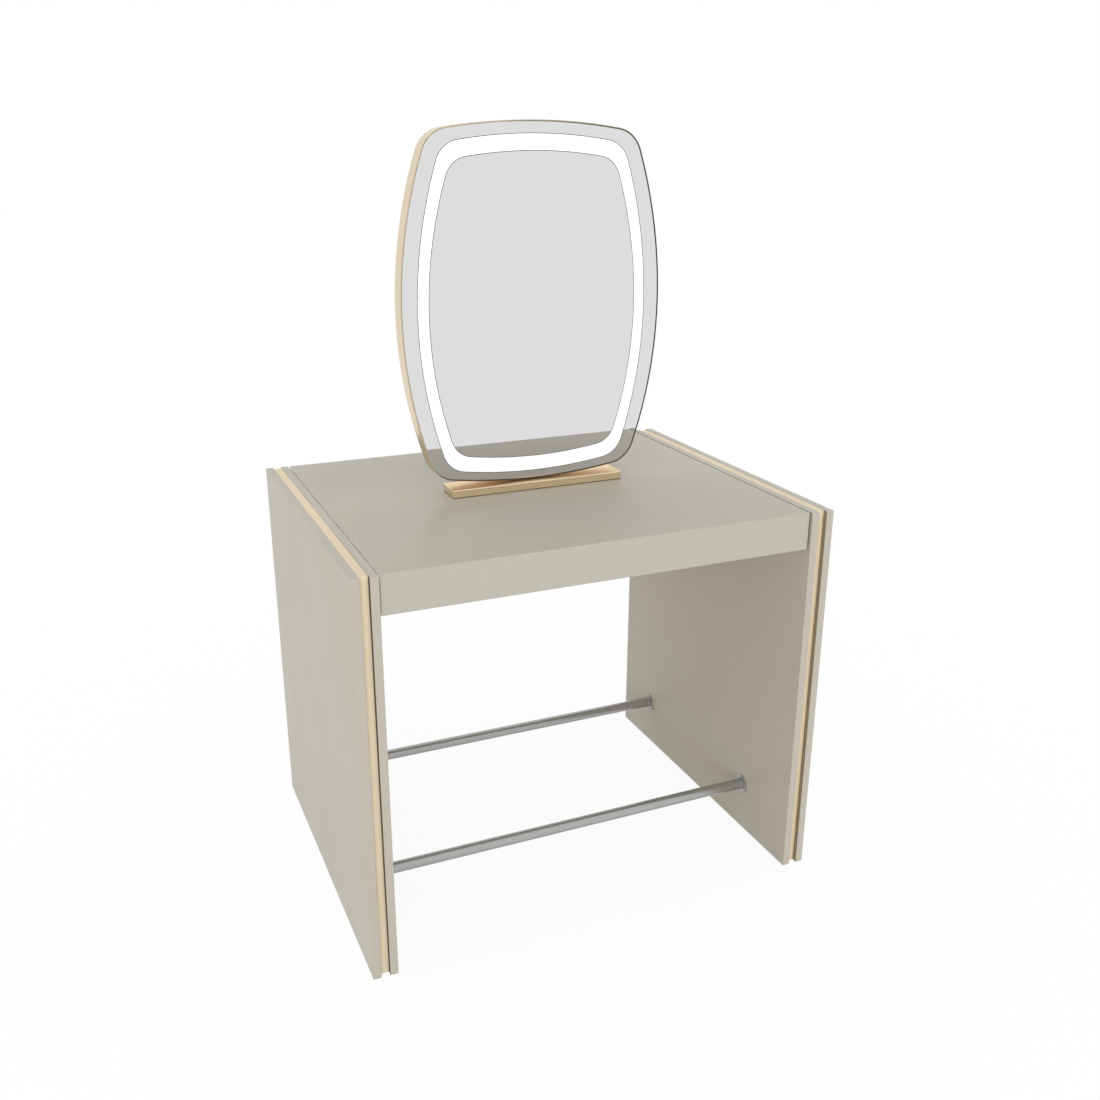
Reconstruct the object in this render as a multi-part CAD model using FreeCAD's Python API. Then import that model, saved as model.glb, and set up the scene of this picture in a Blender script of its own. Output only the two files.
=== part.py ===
import FreeCAD
import Part
import math
import os

# A double-sided salon mirror console: two sandwich side panels carry a boxed top and two foot rails,
# and a lit barrel-shaped mirror with a face on each side stands on a gold bar on the top.
# Millimetres. X runs to the right, Y to the rear and Z up. The origin is on the floor, in the middle.

# Overall sizes
console_width = 1030.0
console_depth = 795.0
table_height = 860.0

# Side panels: two faced boards with a gold core between them
outer_board_thickness = 17.0
core_board_thickness = 18.0
inner_board_thickness = 17.0
core_end_recess = 12.0
core_top_recess = 0.5
board_edge_radius = 0.8

# Wooden dowels
dowel_radius = 4.0
dowel_face_bite = 10.0
dowel_end_bite = 24.0
dowel_fit = 0.05
dowel_end_gap = 0.5
panel_dowel_depth_shares = (-0.36, 0.0, 0.36)
panel_dowel_height_shares = (0.25, 0.72)
rail_dowel_height_shares = (0.28, 0.72)

# Floor glides, nailed up into the cores
glide_pad_radius = 15.0
glide_pad_height = 1.0
glide_nail_radius = 1.5
glide_nail_length = 20.0
glide_depth_shares = (-0.42, 0.0, 0.42)

# Boxed top, with a mitre where the top board meets the fascias
top_height = 80.0
top_board_thickness = 18.0
fascia_thickness = 18.0
end_rail_thickness = 18.0
rib_thickness = 18.0
rib_offset = 134.0
underside_thickness = 8.0
underside_fit = 0.5
top_edge_radius = 1.0
top_front_recess = 7.0
top_side_gap = 3.5

# Bolts that hang the top between the panels, with a spacer in each shadow gap
bolt_radius = 4.0
bolt_head_radius = 8.0
bolt_head_height = 5.0
bolt_bite = 24.0
bolt_clearance = 0.25
thread_fit = 0.05
insert_radius = 6.0
insert_end_gap = 3.0
spacer_radius = 15.0

# Countersunk screws under the top and in the mirror block
screw_head_radius = 4.0
screw_head_height = 2.6
screw_radius = 2.0
screw_bite = 14.0
screw_end_gap = 0.5
screw_fit = 0.05
screw_slot_length = 4.6
screw_slot_width = 1.1
screw_slot_depth = 1.4
rib_screw_length_shares = (-0.42, -0.14, 0.14, 0.42)
rail_screw_depth_shares = (-0.36, 0.36)

# Foot rails and their sockets
rail_radius = 12.5
rail_wall = 1.5
rail_height = 117.0
rail_front_inset = 187.5
rail_rear_inset = 140.0
socket_flange_radius = 22.0
socket_flange_height = 3.0
socket_collar_wall = 1.6
socket_collar_height = 7.0
socket_floor = 2.0
socket_edge_radius = 0.8
socket_fit = 0.05
socket_screw_clearance = 1.8
socket_screw_head_radius = 3.2
socket_screw_head_height = 2.0
socket_screw_radius = 1.8
socket_screw_length = 13.0

# Mirror place, gold bar and the block under the top that takes its studs
mirror_offset = 12.0
mirror_setback = 33.0
gasket_thickness = 1.0
gasket_inset = 1.5
bar_offset = 14.0
bar_setback = 25.0
bar_length = 404.5
bar_depth = 68.0
bar_height = 17.0
bar_edge_radius = 1.5
block_length = 300.0
block_thickness = 18.0
block_fit = 0.3
block_screw_length_share = 0.42
block_screw_depth_share = 0.32

# Hollow studs, posts and nuts between the bar and the mirror frame
stud_pitch = 95.0
stud_radius = 5.0
stud_bore_radius = 3.0
stud_hole_fit = 0.15
stud_end = 3.0
nut_across_flats = 17.0
nut_height = 6.0
post_radius = 7.0
post_height = 1.2
post_seat_rise = 3.0
clamp_plate_overhang = 22.0
clamp_plate_clearance = 1.5
clamp_plate_rise = 6.0

# Mirror frame: a barrel outline of four shallow arcs with rounded corners, set out from the light band
frame_side_margin = 36.0
frame_end_margin = 22.5
frame_depth = 40.0
frame_wall = 2.0
frame_side_radius = 965.0
frame_top_radius = 1285.0
frame_corner_radius = 64.0
frame_edge_radius = 0.6

# Panes, carriers and light band of each face
pane_thickness = 5.0
pane_recess = 0.5
pane_fit = 1.5
carrier_fit = 0.3
band_width = 519.5
band_height = 702.5
band_side_radius = 966.0
band_top_radius = 1098.0
band_corner_radius = 57.5
band_inner_share = 0.906
band_drop = 3.0
joint_width = 1.2
channel_ledge = 4.0
channel_web = 8.0
strip_width = 8.0
strip_thickness = 1.5
pocket_clearance = 2.0
junction_length = 12.0
junction_height = 8.0
junction_fit = 0.2

# Lead from the driver to the light strips
lead_radius = 2.0
lead_clearance = 0.4
lead_turn_radius = 25.0
lead_height_share = 4 / 9
lead_straight = 3.0

# Driver, terminal, switch and gland in the front bay of the top
gland_inset = 40.0
gland_bore_radius = 4.0
gland_sleeve_radius = 8.0
gland_sleeve_rise = 8.0
gland_flange_across_flats = 24.0
gland_flange_height = 5.0
gland_cap_radius = 10.0
gland_cap_height = 12.0
gland_cap_round = 3.0
gland_nut_across_flats = 22.0
panel_nut_height = 5.0
panel_hole_fit = 0.1
terminal_pitch = 45.0
terminal_length = 30.0
terminal_depth = 22.0
terminal_height = 20.0
switch_pitch = 55.0
switch_bezel_radius = 13.0
switch_bezel_height = 2.0
switch_barrel_radius = 10.0
switch_barrel_rise = 7.0
switch_housing_width = 24.0
switch_housing_height = 14.0
switch_nut_across_flats = 24.0
switch_chamber_radius = 8.5
switch_chamber_height = 9.0
button_radius = 7.0
button_proud = 2.0
button_collar_height = 3.0
button_fit = 0.05
button_lift = 0.1
button_edge_radius = 0.6
driver_gap = 50.0
driver_length = 150.0
driver_depth = 44.0
driver_height = 28.0
driver_edge_radius = 2.0
driver_ear_length = 12.0
driver_ear_height = 3.0
driver_screw_head_radius = 3.0
driver_screw_head_height = 2.0
driver_screw_radius = 1.5
driver_screw_length = 9.0
driver_screw_depth_share = 0.3

# How near two heights count as the same when a rim is picked for rounding
rim_tolerance = 0.01

# Places that follow from the sizes
panel_thickness = outer_board_thickness + core_board_thickness + inner_board_thickness
core_far = outer_board_thickness + core_board_thickness
board_bottom = glide_pad_height
board_height = table_height - board_bottom
top_high_x = console_width / 2 - panel_thickness - top_side_gap
top_low_x = -top_high_x
top_front = -console_depth / 2 + top_front_recess
top_rear = console_depth / 2
top_bottom = table_height - top_height
bay_floor = top_bottom + underside_thickness
bay_roof = table_height - top_board_thickness
bay_front = top_front + fascia_thickness
bay_rear = top_rear - fascia_thickness
front_rib_y = mirror_setback - rib_offset
rear_rib_y = mirror_setback + rib_offset
front_bay_y = (bay_front + front_rib_y - rib_thickness / 2) / 2
rear_bay_y = (bay_rear + rear_rib_y + rib_thickness / 2) / 2
bolt_rows = (front_bay_y, mirror_setback, rear_bay_y)
bolt_z = (bay_floor + bay_roof) / 2
bolt_head_seat = panel_thickness + top_side_gap + end_rail_thickness
insert_length = bolt_bite + insert_end_gap
rail_bore_radius = rail_radius - rail_wall
socket_screw_pitch = 2 * (rail_bore_radius - socket_screw_head_radius - socket_screw_clearance)
rail_rows = {"front": rail_front_inset - console_depth / 2, "rear": console_depth / 2 - rail_rear_inset}
bar_bottom = table_height + gasket_thickness
bar_top = bar_bottom + bar_height
frame_width = band_width + 2 * frame_side_margin
frame_height = band_height + 2 * frame_end_margin
frame_bottom = bar_top + post_height
frame_centre_z = frame_bottom + frame_height / 2
clamp_plate_top = frame_bottom + frame_wall + clamp_plate_rise
block_bottom = bay_roof - block_thickness
stud_bottom = block_bottom - nut_height - stud_end
stud_top = clamp_plate_top + nut_height + stud_end
left_stud_x = mirror_offset - stud_pitch / 2
right_stud_x = mirror_offset + stud_pitch / 2
stud_xs = (left_stud_x, right_stud_x)
lead_z = bay_floor + lead_height_share * (stud_bottom - bay_floor)
lead_rise_radius = stud_bottom - lead_straight - lead_z
mains_lead_z = bay_floor + switch_barrel_rise + switch_housing_height / 2
gland_x = top_high_x - end_rail_thickness - gland_inset
terminal_x = gland_x - terminal_pitch
switch_x = terminal_x - switch_pitch
driver_high_x = switch_x - driver_gap
driver_low_x = driver_high_x - driver_length

SIDES = {"left": -1, "right": 1}
FACES = {"front": -1, "rear": 1}
UP = FreeCAD.Vector(0, 0, 1)
REARWARD = FreeCAD.Vector(0, 1, 0)
parts = {}


# Plain shapes
def point(x, y, z):
    return FreeCAD.Vector(x, y, z)


def block(low_x, high_x, low_y, high_y, low_z, high_z):
    return Part.makeBox(high_x - low_x, high_y - low_y, high_z - low_z, point(low_x, low_y, low_z))


def upright(x, y, low_z, high_z, radius):
    return Part.makeCylinder(radius, high_z - low_z, point(x, y, low_z), UP)


def lengthwise(low_y, high_y, x, z, radius):
    return Part.makeCylinder(radius, high_y - low_y, point(x, low_y, z), REARWARD)


def crosswise(end_x, other_x, y, z, radius):
    low_x = min(end_x, other_x)
    length = abs(other_x - end_x)
    return Part.makeCylinder(radius, length, point(low_x, y, z), FreeCAD.Vector(1, 0, 0))


def profile_along_x(corners, low_x, high_x):
    ring = [point(low_x, y, z) for y, z in corners]
    face = Part.Face(Part.makePolygon(ring + ring[:1]))
    return face.extrude(FreeCAD.Vector(high_x - low_x, 0, 0))


def hexagon(x, y, low_z, high_z, across_flats):
    reach = across_flats / 2 / math.cos(math.pi / 6)
    turns = [math.pi / 3 * corner for corner in range(6)]
    ring = [point(x + reach * math.cos(turn), y + reach * math.sin(turn), low_z) for turn in turns]
    face = Part.Face(Part.makePolygon(ring + ring[:1]))
    return face.extrude(FreeCAD.Vector(0, 0, high_z - low_z))


def countersunk(seat, axis, length, growth):
    head = Part.makeCone(screw_head_radius + growth, screw_radius + growth, screw_head_height, seat, axis)
    neck = seat + axis * screw_head_height
    shank = Part.makeCylinder(screw_radius + growth, length - screw_head_height, neck, axis)
    return head.fuse(shank).removeSplitter()


def slotted_screw(seat, length):
    half = screw_slot_length / 2
    thin = screw_slot_width / 2
    low_z = seat.z
    high_z = seat.z + screw_slot_depth
    along = block(seat.x - half, seat.x + half, seat.y - thin, seat.y + thin, low_z, high_z)
    across = block(seat.x - thin, seat.x + thin, seat.y - half, seat.y + half, low_z, high_z)
    return cut_all(countersunk(seat, UP, length, 0), [along, across])


def rims_at(solid, z):
    return [edge for edge in solid.Edges if edge.Closed and abs(edge.CenterOfMass.z - z) < rim_tolerance]


def runs_along_x(edge):
    return abs(edge.firstVertex().X - edge.lastVertex().X) > rim_tolerance


def cut_all(solid, tools):
    return solid.cut(tools).Solids[0]


def softened(solid, radius):
    return solid.makeFillet(radius, solid.Edges)


# Places measured inwards from the outer face of a side panel
def inward(side, depth):
    return SIDES[side] * (console_width / 2 - depth)


def panel_slab(side, near, far, end_recess, low_z, high_z):
    xs = sorted((inward(side, near), inward(side, far)))
    half_depth = console_depth / 2 - end_recess
    return block(xs[0], xs[1], -half_depth, half_depth, low_z, high_z)


def panel_rod(side, near, far, y, z, radius):
    return crosswise(inward(side, near), inward(side, far), y, z, radius)


# Screw and dowel places that several pieces share
def panel_dowel_places():
    for depth_share in panel_dowel_depth_shares:
        for height_share in panel_dowel_height_shares:
            yield depth_share * console_depth, board_bottom + height_share * board_height


def socket_screw_places():
    for rail_y in rail_rows.values():
        for way in (-1, 1):
            yield rail_y + way * socket_screw_pitch / 2, rail_height


def glide_places(side):
    x = inward(side, outer_board_thickness + core_board_thickness / 2)
    for share in glide_depth_shares:
        yield x, share * console_depth


def underside_screw_places():
    length = top_high_x - top_low_x
    depth = bay_rear - bay_front
    for rib_y in (front_rib_y, rear_rib_y):
        for share in rib_screw_length_shares:
            yield share * length, rib_y
    for rail_x in (top_low_x + end_rail_thickness / 2, top_high_x - end_rail_thickness / 2):
        for share in rail_screw_depth_shares:
            yield rail_x, (bay_front + bay_rear) / 2 + share * depth


def block_screw_places():
    depth = rib_offset + rib_offset - rib_thickness
    for x_way in (-1, 1):
        for y_way in (-1, 1):
            x = mirror_offset + x_way * block_screw_length_share * block_length
            yield x, mirror_setback + y_way * block_screw_depth_share * depth


def rail_dowel_heights():
    for share in rail_dowel_height_shares:
        yield bay_floor + share * (bay_roof - bay_floor)


# Side panels, with the holes that their dowels, bolts, sockets and glides need
def make_side_panel(side):
    outer = panel_slab(side, 0, outer_board_thickness, 0, board_bottom, table_height)
    core_top = table_height - core_top_recess
    core = panel_slab(side, outer_board_thickness, core_far, core_end_recess, board_bottom, core_top)
    inner = panel_slab(side, core_far, panel_thickness, 0, board_bottom, table_height)
    near = outer_board_thickness - dowel_face_bite - dowel_end_gap
    far = core_far + dowel_face_bite + dowel_end_gap
    hole_radius = dowel_radius + dowel_fit
    dowel_holes = [panel_rod(side, near, far, y, z, hole_radius) for y, z in panel_dowel_places()]
    insert_near = panel_thickness - insert_length
    insert_holes = []
    for y in bolt_rows:
        insert_holes.append(panel_rod(side, insert_near, panel_thickness, y, bolt_z, insert_radius))
    screw_near = panel_thickness - socket_screw_length + socket_floor - screw_end_gap
    screw_radius_free = socket_screw_radius + screw_fit
    places = socket_screw_places()
    socket_holes = [panel_rod(side, screw_near, panel_thickness, y, z, screw_radius_free) for y, z in places]
    nail_top = board_bottom + glide_nail_length + screw_end_gap
    nail_radius = glide_nail_radius + screw_fit
    nail_holes = [upright(x, y, board_bottom, nail_top, nail_radius) for x, y in glide_places(side)]
    parts[side + "_outer_board"] = cut_all(softened(outer, board_edge_radius), dowel_holes)
    parts[side + "_core_board"] = cut_all(core, dowel_holes + insert_holes + nail_holes)
    inner_holes = dowel_holes + insert_holes + socket_holes
    parts[side + "_inner_board"] = cut_all(softened(inner, board_edge_radius), inner_holes)


def make_panel_dowels():
    near = outer_board_thickness - dowel_face_bite
    far = core_far + dowel_face_bite
    pegs = []
    for side in SIDES:
        pegs += [panel_rod(side, near, far, y, z, dowel_radius) for y, z in panel_dowel_places()]
    parts["panel_dowels"] = Part.makeCompound(pegs)


def make_floor_glides():
    glides = []
    for side in SIDES:
        for x, y in glide_places(side):
            pad = upright(x, y, 0, board_bottom, glide_pad_radius)
            nail = upright(x, y, board_bottom, board_bottom + glide_nail_length, glide_nail_radius)
            glides.append(pad.fuse(nail).removeSplitter())
    parts["floor_glides"] = Part.makeCompound(glides)


# Boxed top
def eased_outside():
    shell = block(top_low_x, top_high_x, top_front, top_rear, top_bottom, table_height)
    long_edges = [edge for edge in shell.Edges if runs_along_x(edge) and edge.CenterOfMass.z > bay_roof]
    return shell.makeFillet(top_edge_radius, long_edges)


def make_top_board():
    corners = [
        (top_front, table_height),
        (top_rear, table_height),
        (bay_rear, bay_roof),
        (bay_front, bay_roof),
    ]
    board = profile_along_x(corners, top_low_x, top_high_x)
    hole_radius = stud_radius + stud_hole_fit
    holes = [upright(x, mirror_setback, bay_roof, table_height, hole_radius) for x in stud_xs]
    length = block_thickness + screw_bite + screw_end_gap
    seats = [point(x, y, block_bottom) for x, y in block_screw_places()]
    holes += [countersunk(seat, UP, length, screw_fit) for seat in seats]
    parts["top_panel"] = cut_all(board.common(eased_outside()), holes)


def fascia_dowels(face, radius, end_gap):
    seat = bay_front if face == "front" else bay_rear
    low_y = seat - (dowel_face_bite if face == "front" else dowel_end_bite) - end_gap
    high_y = seat + (dowel_end_bite if face == "front" else dowel_face_bite) + end_gap
    rail_xs = (top_low_x + end_rail_thickness / 2, top_high_x - end_rail_thickness / 2)
    return [lengthwise(low_y, high_y, x, z, radius) for x in rail_xs for z in rail_dowel_heights()]


def rib_dowels(side, radius, end_gap):
    seat = SIDES[side] * (top_high_x - end_rail_thickness)
    out = seat + SIDES[side] * (dowel_face_bite + end_gap)
    back = seat - SIDES[side] * (dowel_end_bite + end_gap)
    rib_ys = (front_rib_y, rear_rib_y)
    return [crosswise(out, back, y, z, radius) for y in rib_ys for z in rail_dowel_heights()]


def carcass_dowels(radius, end_gap):
    pegs = []
    for face in FACES:
        pegs += fascia_dowels(face, radius, end_gap)
    for side in SIDES:
        pegs += rib_dowels(side, radius, end_gap)
    return pegs


def make_carcass():
    dowel_holes = carcass_dowels(dowel_radius + dowel_fit, dowel_end_gap)
    length = underside_thickness + screw_bite + screw_end_gap
    seats = [point(x, y, top_bottom) for x, y in underside_screw_places()]
    screw_holes = [countersunk(seat, UP, length, screw_fit) for seat in seats]
    for face, outside, inside in (("front", top_front, bay_front), ("rear", top_rear, bay_rear)):
        corners = [
            (outside, table_height),
            (inside, bay_roof),
            (inside, top_bottom),
            (outside, top_bottom),
        ]
        fascia = profile_along_x(corners, top_low_x, top_high_x)
        parts[face + "_fascia"] = cut_all(fascia.common(eased_outside()), dowel_holes)
    for side in SIDES:
        xs = sorted((SIDES[side] * top_high_x, SIDES[side] * (top_high_x - end_rail_thickness)))
        rail = block(xs[0], xs[1], bay_front, bay_rear, bay_floor, bay_roof)
        hole_radius = bolt_radius + bolt_clearance
        bolt_holes = [crosswise(xs[0], xs[1], y, bolt_z, hole_radius) for y in bolt_rows]
        parts[side + "_end_rail"] = cut_all(rail, dowel_holes + bolt_holes + screw_holes)
    rib_low_x = top_low_x + end_rail_thickness
    for face, rib_y in (("front", front_rib_y), ("rear", rear_rib_y)):
        low_y = rib_y - rib_thickness / 2
        high_y = rib_y + rib_thickness / 2
        rib = block(rib_low_x, -rib_low_x, low_y, high_y, bay_floor, bay_roof)
        holes = dowel_holes + screw_holes
        if face == "front":
            holes = holes + [lengthwise(low_y, high_y, left_stud_x, lead_z, lead_radius + lead_clearance)]
        parts[face + "_rib"] = cut_all(rib, holes)
    parts["carcass_dowels"] = Part.makeCompound(carcass_dowels(dowel_radius, 0))


def make_underside():
    low_y = bay_front + underside_fit
    high_y = bay_rear - underside_fit
    panel = block(top_low_x, top_high_x, low_y, high_y, top_bottom, bay_floor)
    length = underside_thickness + screw_bite
    seats = [point(x, y, top_bottom) for x, y in underside_screw_places()]
    holes = [countersunk(seat, UP, length, screw_fit) for seat in seats]
    holes.append(upright(gland_x, front_bay_y, top_bottom, bay_floor, gland_sleeve_radius + panel_hole_fit))
    holes.append(upright(switch_x, front_bay_y, top_bottom, bay_floor, switch_barrel_radius + panel_hole_fit))
    ear_hole_bottom = bay_floor + driver_ear_height - driver_screw_length
    radius = driver_screw_radius + screw_fit
    holes += [upright(x, y, ear_hole_bottom, bay_floor, radius) for x, y in driver_screw_places()]
    parts["underside_panel"] = cut_all(panel, holes)
    parts["underside_screws"] = Part.makeCompound([slotted_screw(seat, length) for seat in seats])


# Bolts, inserts and spacers between the top and the panels
def make_top_fixings():
    bolts = []
    inserts = []
    spacers = []
    bolt_near = panel_thickness - bolt_bite
    insert_near = panel_thickness - insert_length
    gap_far = panel_thickness + top_side_gap
    for side in SIDES:
        for y in bolt_rows:
            shank = panel_rod(side, bolt_near, bolt_head_seat, y, bolt_z, bolt_radius)
            head_far = bolt_head_seat + bolt_head_height
            head = panel_rod(side, bolt_head_seat, head_far, y, bolt_z, bolt_head_radius)
            bolts.append(shank.fuse(head).removeSplitter())
            sleeve = panel_rod(side, insert_near, panel_thickness, y, bolt_z, insert_radius)
            bore = panel_rod(side, insert_near, panel_thickness, y, bolt_z, bolt_radius + thread_fit)
            inserts.append(sleeve.cut(bore))
            disc = panel_rod(side, panel_thickness, gap_far, y, bolt_z, spacer_radius)
            hole = panel_rod(side, panel_thickness, gap_far, y, bolt_z, bolt_radius + bolt_clearance)
            spacers.append(disc.cut(hole))
    parts["panel_bolts"] = Part.makeCompound(bolts)
    parts["panel_inserts"] = Part.makeCompound(inserts)
    parts["gap_spacers"] = Part.makeCompound(spacers)


# Foot rails
def make_foot_rail(row):
    reach = console_width / 2 - panel_thickness - socket_floor - socket_fit
    y = rail_rows[row]
    tube = crosswise(-reach, reach, y, rail_height, rail_radius)
    parts[row + "_foot_rail"] = tube.cut(crosswise(-reach, reach, y, rail_height, rail_bore_radius))


def make_rail_socket(side, row):
    y = rail_rows[row]
    flange_far = panel_thickness + socket_flange_height
    collar_far = flange_far + socket_collar_height
    collar_radius = rail_radius + socket_fit + socket_collar_wall
    flange = panel_rod(side, panel_thickness, flange_far, y, rail_height, socket_flange_radius)
    collar = panel_rod(side, flange_far, collar_far, y, rail_height, collar_radius)
    socket = flange.fuse(collar).removeSplitter()
    rims = [edge for edge in socket.Edges if on_socket_rim(edge, side, flange_far, collar_far)]
    socket = socket.makeFillet(socket_edge_radius, rims)
    bore_near = panel_thickness + socket_floor
    tools = [panel_rod(side, bore_near, collar_far, y, rail_height, rail_radius + socket_fit)]
    for way in (-1, 1):
        screw_y = y + way * socket_screw_pitch / 2
        radius = socket_screw_radius + screw_fit
        tools.append(panel_rod(side, panel_thickness, bore_near, screw_y, rail_height, radius))
    parts[side + "_" + row + "_rail_socket"] = cut_all(socket, tools)


def on_socket_rim(edge, side, flange_far, collar_far):
    if not edge.Closed:
        return False
    x = edge.CenterOfMass.x
    wide = edge.Curve.Radius > socket_flange_radius - socket_collar_wall
    at_flange = abs(x - inward(side, flange_far)) < socket_fit and wide
    return at_flange or abs(x - inward(side, collar_far)) < socket_fit


def make_socket_screws():
    screws = []
    seat = panel_thickness + socket_floor
    for side in SIDES:
        for y, z in socket_screw_places():
            head = panel_rod(side, seat, seat + socket_screw_head_height, y, z, socket_screw_head_radius)
            shank = panel_rod(side, seat - socket_screw_length, seat, y, z, socket_screw_radius)
            screws.append(head.fuse(shank).removeSplitter())
    parts["rail_socket_screws"] = Part.makeCompound(screws)


# Gold bar, its gasket and the block under the top
def make_mirror_base():
    hole_radius = stud_radius + stud_hole_fit
    holes = [upright(x, mirror_setback, block_bottom, bar_top, hole_radius) for x in stud_xs]
    low_x = bar_offset - bar_length / 2
    high_x = bar_offset + bar_length / 2
    low_y = bar_setback - bar_depth / 2
    high_y = bar_setback + bar_depth / 2
    bar = softened(block(low_x, high_x, low_y, high_y, bar_bottom, bar_top), bar_edge_radius)
    parts["mirror_base_bar"] = cut_all(bar, holes)
    inset_x = (low_x + gasket_inset, high_x - gasket_inset)
    inset_y = (low_y + gasket_inset, high_y - gasket_inset)
    gasket = block(inset_x[0], inset_x[1], inset_y[0], inset_y[1], table_height, bar_bottom)
    parts["base_gasket"] = cut_all(gasket, holes)
    block_low_y = front_rib_y + rib_thickness / 2 + block_fit
    block_high_y = rear_rib_y - rib_thickness / 2 - block_fit
    block_low_x = mirror_offset - block_length / 2
    block_high_x = mirror_offset + block_length / 2
    plank = block(block_low_x, block_high_x, block_low_y, block_high_y, block_bottom, bay_roof)
    length = block_thickness + screw_bite
    seats = [point(x, y, block_bottom) for x, y in block_screw_places()]
    screw_holes = [countersunk(seat, UP, length, screw_fit) for seat in seats]
    parts["mirror_block"] = cut_all(plank, holes + screw_holes)
    parts["block_screws"] = Part.makeCompound([slotted_screw(seat, length) for seat in seats])


# Barrel outlines: half width, half height, side radius, top radius and corner radius
def inset(outline, amount):
    return tuple(size - amount for size in outline)


def shrunk(outline, share):
    return tuple(size * share for size in outline)


def midway(outline, other):
    return tuple((size + other_size) / 2 for size, other_size in zip(outline, other))


frame_outline = (frame_width / 2, frame_height / 2, frame_side_radius, frame_top_radius, frame_corner_radius)
band_outline = (band_width / 2, band_height / 2, band_side_radius, band_top_radius, band_corner_radius)
band_inner_outline = shrunk(band_outline, band_inner_share)
band_middle_outline = midway(band_outline, band_inner_outline)
band_centre_z = frame_centre_z - band_drop
pane_back = frame_depth / 2 - pane_recess - pane_thickness
channel_floor = channel_web / 2
clamp_plate_depth = 2 * (pane_back - clamp_plate_clearance)


def corner_centre(outline):
    half_width, half_height, side_radius, top_radius, corner_radius = outline
    side_centre = half_width - side_radius
    top_centre = half_height - top_radius
    side_reach = side_radius - corner_radius
    top_reach = top_radius - corner_radius
    span = math.hypot(side_centre, top_centre)
    along = (side_reach ** 2 - top_reach ** 2 + span ** 2) / (2 * span)
    across = math.sqrt(side_reach ** 2 - along ** 2)
    run_x = -side_centre / span
    run_z = top_centre / span
    return side_centre + along * run_x - across * run_z, along * run_z + across * run_x


def barrel_wire(outline, centre_z, y):
    half_width, half_height, side_radius, top_radius, corner_radius = outline
    side_x = half_width - side_radius
    top_z = half_height - top_radius
    corner_x, corner_z = corner_centre(outline)
    side_turn = math.atan2(corner_z, corner_x - side_x)
    top_turn = math.atan2(corner_z - top_z, corner_x)
    half = math.pi
    full = 2 * math.pi
    arcs = [
        (side_x, 0, side_radius, -side_turn, side_turn),
        (corner_x, corner_z, corner_radius, side_turn, top_turn),
        (0, top_z, top_radius, top_turn, half - top_turn),
        (-corner_x, corner_z, corner_radius, half - top_turn, half - side_turn),
        (-side_x, 0, side_radius, half - side_turn, half + side_turn),
        (-corner_x, -corner_z, corner_radius, half + side_turn, half + top_turn),
        (0, -top_z, top_radius, half + top_turn, full - top_turn),
        (corner_x, -corner_z, corner_radius, full - top_turn, full - side_turn),
    ]
    edges = []
    for arc_x, arc_z, radius, start, end in arcs:
        turns = (start, (start + end) / 2, end)
        xs = [mirror_offset + arc_x + radius * math.cos(turn) for turn in turns]
        zs = [centre_z + arc_z + radius * math.sin(turn) for turn in turns]
        ends = [point(x, y, z) for x, z in zip(xs, zs)]
        edges.append(Part.Arc(*ends).toShape())
    return Part.Wire(edges)


def barrel_prism(outline, centre_z, low_y, high_y):
    face = Part.Face(barrel_wire(outline, centre_z, low_y))
    return face.extrude(FreeCAD.Vector(0, high_y - low_y, 0))


def barrel_ring(outer, inner, centre_z, low_y, high_y):
    return barrel_prism(outer, centre_z, low_y, high_y).cut(barrel_prism(inner, centre_z, low_y, high_y))


def layer(face, near, far):
    ys = (mirror_setback + FACES[face] * near, mirror_setback + FACES[face] * far)
    return min(ys), max(ys)


# Mirror frame and what clamps it to the bar
def frame_body():
    return barrel_prism(frame_outline, frame_centre_z, *layer("rear", -frame_depth / 2, frame_depth / 2))


def frame_hollow():
    hollow = inset(frame_outline, frame_wall)
    return barrel_prism(hollow, frame_centre_z, *layer("rear", -frame_depth / 2, frame_depth / 2))


def stays_at_one_depth(edge):
    return abs(edge.firstVertex().Y - edge.lastVertex().Y) < rim_tolerance


def make_mirror_frame():
    body = frame_body()
    body = body.makeFillet(frame_edge_radius, [edge for edge in body.Edges if stays_at_one_depth(edge)])
    hole_radius = stud_radius + stud_hole_fit
    tools = [frame_hollow()]
    for x in stud_xs:
        tools.append(upright(x, mirror_setback, bar_top, clamp_plate_top, hole_radius))
    parts["mirror_frame"] = cut_all(body, tools)


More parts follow.
